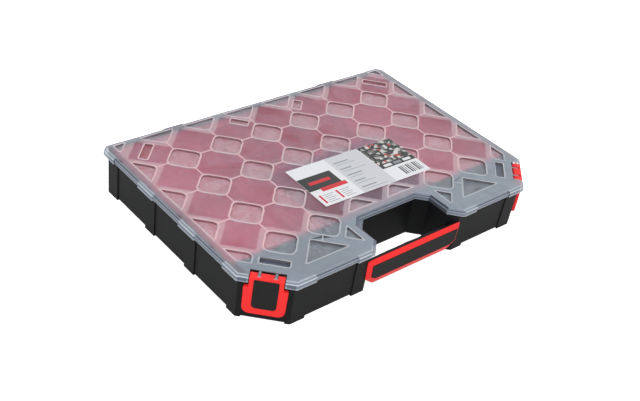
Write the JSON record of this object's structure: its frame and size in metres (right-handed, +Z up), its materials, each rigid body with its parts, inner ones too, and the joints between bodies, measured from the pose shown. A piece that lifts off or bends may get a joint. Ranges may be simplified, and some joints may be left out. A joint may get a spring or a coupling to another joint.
{
  "type": "tool organizer box",
  "caption": "Flat carrying case with a see-through hinged lid, lift-out bins, a fixed front handle and a latch on each cut-off front corner.",
  "frame": {"origin": "middle of the footprint at the lower side of the feet", "axes": "+X along the handle side to the right, +Y to the hinge side, +Z up"},
  "size_m": [0.4, 0.286, 0.0552],
  "materials": {
    "case_black": "fine grained black polypropylene",
    "handle_red": "satin red plastic",
    "latch_red": "satin red plastic",
    "grip_black": "matt black plastic",
    "lid_clear": "clear plastic, frosted between the pockets",
    "bin_red": "satin red plastic",
    "card": "printed card",
    "pin_steel": "plain steel wire"
  },
  "bodies": {
    "base": {"case": "case_black", "handle_surround": "handle_red", "handle_grip": "grip_black", "hinge_pin_left": "pin_steel", "hinge_pin_right": "pin_steel", "bin_front_1": "bin_red", "bin_front_2": "bin_red", "bin_front_3": "bin_red", "bin_front_4": "bin_red", "bin_front_5": "bin_red", "bin_back_1": "bin_red", "bin_back_2": "bin_red", "bin_back_3": "bin_red", "bin_back_4": "bin_red", "bin_back_5": "bin_red"},
    "lid": {"lid": "lid_clear", "label_card": "card", "latch_left_pin": "pin_steel", "latch_right_pin": "pin_steel"},
    "latch_left": {"latch_left": "latch_red", "latch_left_inlay": "grip_black"},
    "latch_right": {"latch_right": "latch_red", "latch_right_inlay": "grip_black"}
  },
  "joints": [
    {"name": "lid_hinge", "type": "hinge", "parent": "base", "child": "lid", "pos_m": [0, 0.1396, 0.044], "axis": [-1, 0, 0], "range_deg": [0, 180]},
    {"name": "latch_left_hinge", "type": "hinge", "parent": "lid", "child": "latch_left", "pos_m": [-0.17612, -0.11912, 0.0513], "axis": [-0.7071, 0.7071, 0], "range_deg": [0, 100]},
    {"name": "latch_right_hinge", "type": "hinge", "parent": "lid", "child": "latch_right", "pos_m": [0.17612, -0.11912, 0.0513], "axis": [-0.7071, -0.7071, 0], "range_deg": [0, 100]}
  ]
}
